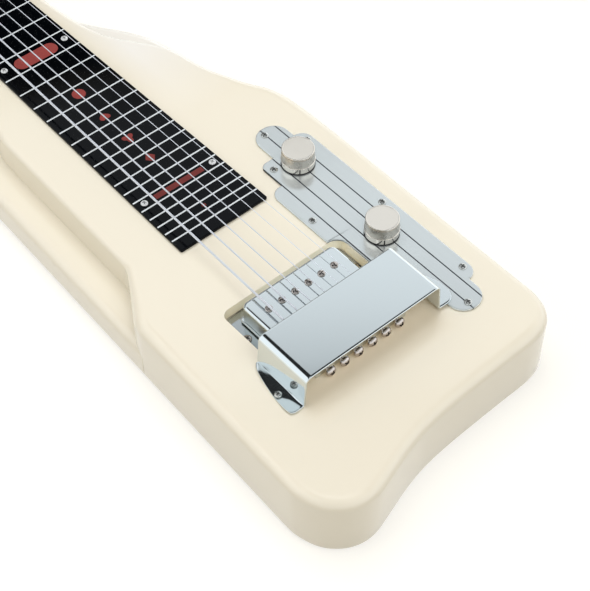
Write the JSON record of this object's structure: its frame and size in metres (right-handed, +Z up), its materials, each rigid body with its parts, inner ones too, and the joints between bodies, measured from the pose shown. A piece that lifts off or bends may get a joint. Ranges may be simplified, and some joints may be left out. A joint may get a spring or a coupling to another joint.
{
  "type": "lap steel guitar",
  "caption": "Electric lap steel guitar with a stepped solid body, pickup, arched bridge cover, control plate with two knobs, fretboard panel and geared tuners.",
  "frame": {"origin": "on the flat back of the body, under the middle of the bridge saddles, where the saddle line crosses the centreline of the strings", "axes": "+X along the body towards its tail, -X towards the head, +Y towards the treble side with the knobs, +Z up from the back to the strings"},
  "size_m": [0.8154, 0.1962, 0.0665],
  "materials": {
    "body_finish": "cream gloss lacquer over a solid wood body",
    "board": "black gloss fingerboard panel with pale printed fret lines and red position figures",
    "nut_white": "off-white moulded nut",
    "chrome_plate": "polished chrome plate",
    "knob_nickel": "warm satin nickel",
    "screw_nickel": "nickel-plated steel fasteners",
    "string_steel": "plain steel strings",
    "string_wound": "nickel-wound steel strings",
    "tuner_nickel": "nickel-plated tuner hardware",
    "button_cream": "cream moulded tuner buttons",
    "saddle_metal": "nickel-plated saddle blocks",
    "coil_dark": "dark enamelled coil winding on its bobbin",
    "magnet_grey": "cast bar magnet",
    "pot_steel": "pressed steel potentiometer cans",
    "shaft_brass": "turned brass shafts",
    "capacitor_brown": "dipped capacitor"
  },
  "bodies": {
    "guitar": {"body": "body_finish", "fretboard": "board", "nut": "nut_white", "tuner_plate_bass": "tuner_nickel", "tuner_plate_treble": "tuner_nickel", "pickup_cover": "chrome_plate", "pickup_coil": "coil_dark", "pickup_magnet": "magnet_grey", "pickup_base_plate": "chrome_plate", "pickup_mounting_plate": "chrome_plate", "bridge_base": "chrome_plate", "bridge_cover": "chrome_plate", "control_plate": "chrome_plate", "volume_pot": "pot_steel", "volume_pot_nut": "screw_nickel", "tone_pot": "pot_steel", "tone_pot_nut": "screw_nickel", "capacitor": "capacitor_brown", "jack_plate": "chrome_plate", "output_jack": "screw_nickel", "string_1": "string_steel", "string_2": "string_steel", "string_3": "string_wound", "string_4": "string_wound", "string_5": "string_wound", "string_6": "string_wound", "pole_screw_1": "screw_nickel", "pole_screw_2": "screw_nickel", "pole_screw_3": "screw_nickel", "pole_screw_4": "screw_nickel", "pole_screw_5": "screw_nickel", "pole_screw_6": "screw_nickel"},
    "volume_control": {"volume_knob": "knob_nickel", "volume_shaft": "shaft_brass"},
    "tone_control": {"tone_knob": "knob_nickel", "tone_shaft": "shaft_brass"},
    "tuner_key_1": {"tuner_button_1": "button_cream"},
    "tuner_gear_1": {"tuner_post_1": "tuner_nickel"},
    "tuner_key_2": {"tuner_button_2": "button_cream"},
    "tuner_gear_2": {"tuner_post_2": "tuner_nickel"},
    "tuner_key_3": {"tuner_button_3": "button_cream"},
    "tuner_gear_3": {"tuner_post_3": "tuner_nickel"},
    "tuner_key_4": {"tuner_button_4": "button_cream"},
    "tuner_gear_4": {"tuner_post_4": "tuner_nickel"},
    "tuner_key_5": {"tuner_button_5": "button_cream"},
    "tuner_gear_5": {"tuner_post_5": "tuner_nickel"},
    "tuner_key_6": {"tuner_button_6": "button_cream"},
    "tuner_gear_6": {"tuner_post_6": "tuner_nickel"},
    "intonation_1": {"intonation_screw_1": "screw_nickel"},
    "saddle_block_1": {"saddle_1": "saddle_metal"},
    "intonation_2": {"intonation_screw_2": "screw_nickel"},
    "saddle_block_2": {"saddle_2": "saddle_metal"},
    "intonation_3": {"intonation_screw_3": "screw_nickel"},
    "saddle_block_3": {"saddle_3": "saddle_metal"},
    "intonation_4": {"intonation_screw_4": "screw_nickel"},
    "saddle_block_4": {"saddle_4": "saddle_metal"},
    "intonation_5": {"intonation_screw_5": "screw_nickel"},
    "saddle_block_5": {"saddle_5": "saddle_metal"},
    "intonation_6": {"intonation_screw_6": "screw_nickel"},
    "saddle_block_6": {"saddle_6": "saddle_metal"}
  },
  "joints": [
    {"name": "volume_turn", "type": "hinge", "parent": "guitar", "child": "volume_control", "pos_m": [-0.0401, 0.0642, 0.046], "axis": [0, 0, 1], "range_deg": [-150, 150]},
    {"name": "tone_turn", "type": "hinge", "parent": "guitar", "child": "tone_control", "pos_m": [-0.1136, 0.0642, 0.046], "axis": [0, 0, 1], "range_deg": [-150, 150]},
    {"name": "tuner_key_turn_1", "type": "hinge", "parent": "guitar", "child": "tuner_key_1", "pos_m": [-0.5949, 0.02, 0.0102], "axis": [0, 1, 0], "continuous": true},
    {"name": "tuner_post_turn_1", "type": "hinge", "parent": "guitar", "child": "tuner_gear_1", "pos_m": [-0.6035, 0.02, 0.03], "axis": [0, 0, 1], "continuous": true},
    {"name": "tuner_key_turn_2", "type": "hinge", "parent": "guitar", "child": "tuner_key_2", "pos_m": [-0.6329, 0.02, 0.0102], "axis": [0, 1, 0], "continuous": true},
    {"name": "tuner_post_turn_2", "type": "hinge", "parent": "guitar", "child": "tuner_gear_2", "pos_m": [-0.6415, 0.02, 0.03], "axis": [0, 0, 1], "continuous": true},
    {"name": "tuner_key_turn_3", "type": "hinge", "parent": "guitar", "child": "tuner_key_3", "pos_m": [-0.6709, 0.02, 0.0102], "axis": [0, 1, 0], "continuous": true},
    {"name": "tuner_post_turn_3", "type": "hinge", "parent": "guitar", "child": "tuner_gear_3", "pos_m": [-0.6795, 0.02, 0.03], "axis": [0, 0, 1], "continuous": true},
    {"name": "tuner_key_turn_4", "type": "hinge", "parent": "guitar", "child": "tuner_key_4", "pos_m": [-0.6709, -0.02, 0.0102], "axis": [0, 1, 0], "continuous": true},
    {"name": "tuner_post_turn_4", "type": "hinge", "parent": "guitar", "child": "tuner_gear_4", "pos_m": [-0.6795, -0.02, 0.03], "axis": [0, 0, 1], "continuous": true},
    {"name": "tuner_key_turn_5", "type": "hinge", "parent": "guitar", "child": "tuner_key_5", "pos_m": [-0.6329, -0.02, 0.0102], "axis": [0, 1, 0], "continuous": true},
    {"name": "tuner_post_turn_5", "type": "hinge", "parent": "guitar", "child": "tuner_gear_5", "pos_m": [-0.6415, -0.02, 0.03], "axis": [0, 0, 1], "continuous": true},
    {"name": "tuner_key_turn_6", "type": "hinge", "parent": "guitar", "child": "tuner_key_6", "pos_m": [-0.5949, -0.02, 0.0102], "axis": [0, 1, 0], "continuous": true},
    {"name": "tuner_post_turn_6", "type": "hinge", "parent": "guitar", "child": "tuner_gear_6", "pos_m": [-0.6035, -0.02, 0.03], "axis": [0, 0, 1], "continuous": true},
    {"name": "intonation_turn_1", "type": "hinge", "parent": "guitar", "child": "intonation_1", "pos_m": [0.0155, 0.0253, 0.0476], "axis": [1, 0, 0], "range_deg": [-360, 720]},
    {"name": "saddle_travel_1", "type": "slide", "parent": "guitar", "child": "saddle_block_1", "axis": [1, 0, 0], "range_m": [-0.001, 0.0005]},
    {"name": "intonation_turn_2", "type": "hinge", "parent": "guitar", "child": "intonation_2", "pos_m": [0.0155, 0.01518, 0.0476], "axis": [1, 0, 0], "range_deg": [-360, 720]},
    {"name": "saddle_travel_2", "type": "slide", "parent": "guitar", "child": "saddle_block_2", "axis": [1, 0, 0], "range_m": [-0.001, 0.0005]},
    {"name": "intonation_turn_3", "type": "hinge", "parent": "guitar", "child": "intonation_3", "pos_m": [0.0155, 0.00506, 0.0476], "axis": [1, 0, 0], "range_deg": [-360, 720]},
    {"name": "saddle_travel_3", "type": "slide", "parent": "guitar", "child": "saddle_block_3", "axis": [1, 0, 0], "range_m": [-0.001, 0.0005]},
    {"name": "intonation_turn_4", "type": "hinge", "parent": "guitar", "child": "intonation_4", "pos_m": [0.0155, -0.00506, 0.0476], "axis": [1, 0, 0], "range_deg": [-360, 720]},
    {"name": "saddle_travel_4", "type": "slide", "parent": "guitar", "child": "saddle_block_4", "axis": [1, 0, 0], "range_m": [-0.001, 0.0005]},
    {"name": "intonation_turn_5", "type": "hinge", "parent": "guitar", "child": "intonation_5", "pos_m": [0.0155, -0.01518, 0.0476], "axis": [1, 0, 0], "range_deg": [-360, 720]},
    {"name": "saddle_travel_5", "type": "slide", "parent": "guitar", "child": "saddle_block_5", "axis": [1, 0, 0], "range_m": [-0.001, 0.0005]},
    {"name": "intonation_turn_6", "type": "hinge", "parent": "guitar", "child": "intonation_6", "pos_m": [0.0155, -0.0253, 0.0476], "axis": [1, 0, 0], "range_deg": [-360, 720]},
    {"name": "saddle_travel_6", "type": "slide", "parent": "guitar", "child": "saddle_block_6", "axis": [1, 0, 0], "range_m": [-0.001, 0.0005]}
  ],
  "couplings": [
    {"joint": "tuner_post_turn_1", "follows": "tuner_key_turn_1", "ratio": -0.071429},
    {"joint": "tuner_post_turn_2", "follows": "tuner_key_turn_2", "ratio": -0.071429},
    {"joint": "tuner_post_turn_3", "follows": "tuner_key_turn_3", "ratio": -0.071429},
    {"joint": "tuner_post_turn_4", "follows": "tuner_key_turn_4", "ratio": -0.071429},
    {"joint": "tuner_post_turn_5", "follows": "tuner_key_turn_5", "ratio": -0.071429},
    {"joint": "tuner_post_turn_6", "follows": "tuner_key_turn_6", "ratio": -0.071429},
    {"joint": "intonation_turn_1", "follows": "saddle_travel_1", "rad_per_m": -12566},
    {"joint": "intonation_turn_2", "follows": "saddle_travel_2", "rad_per_m": -12566},
    {"joint": "intonation_turn_3", "follows": "saddle_travel_3", "rad_per_m": -12566},
    {"joint": "intonation_turn_4", "follows": "saddle_travel_4", "rad_per_m": -12566},
    {"joint": "intonation_turn_5", "follows": "saddle_travel_5", "rad_per_m": -12566},
    {"joint": "intonation_turn_6", "follows": "saddle_travel_6", "rad_per_m": -12566}
  ]
}
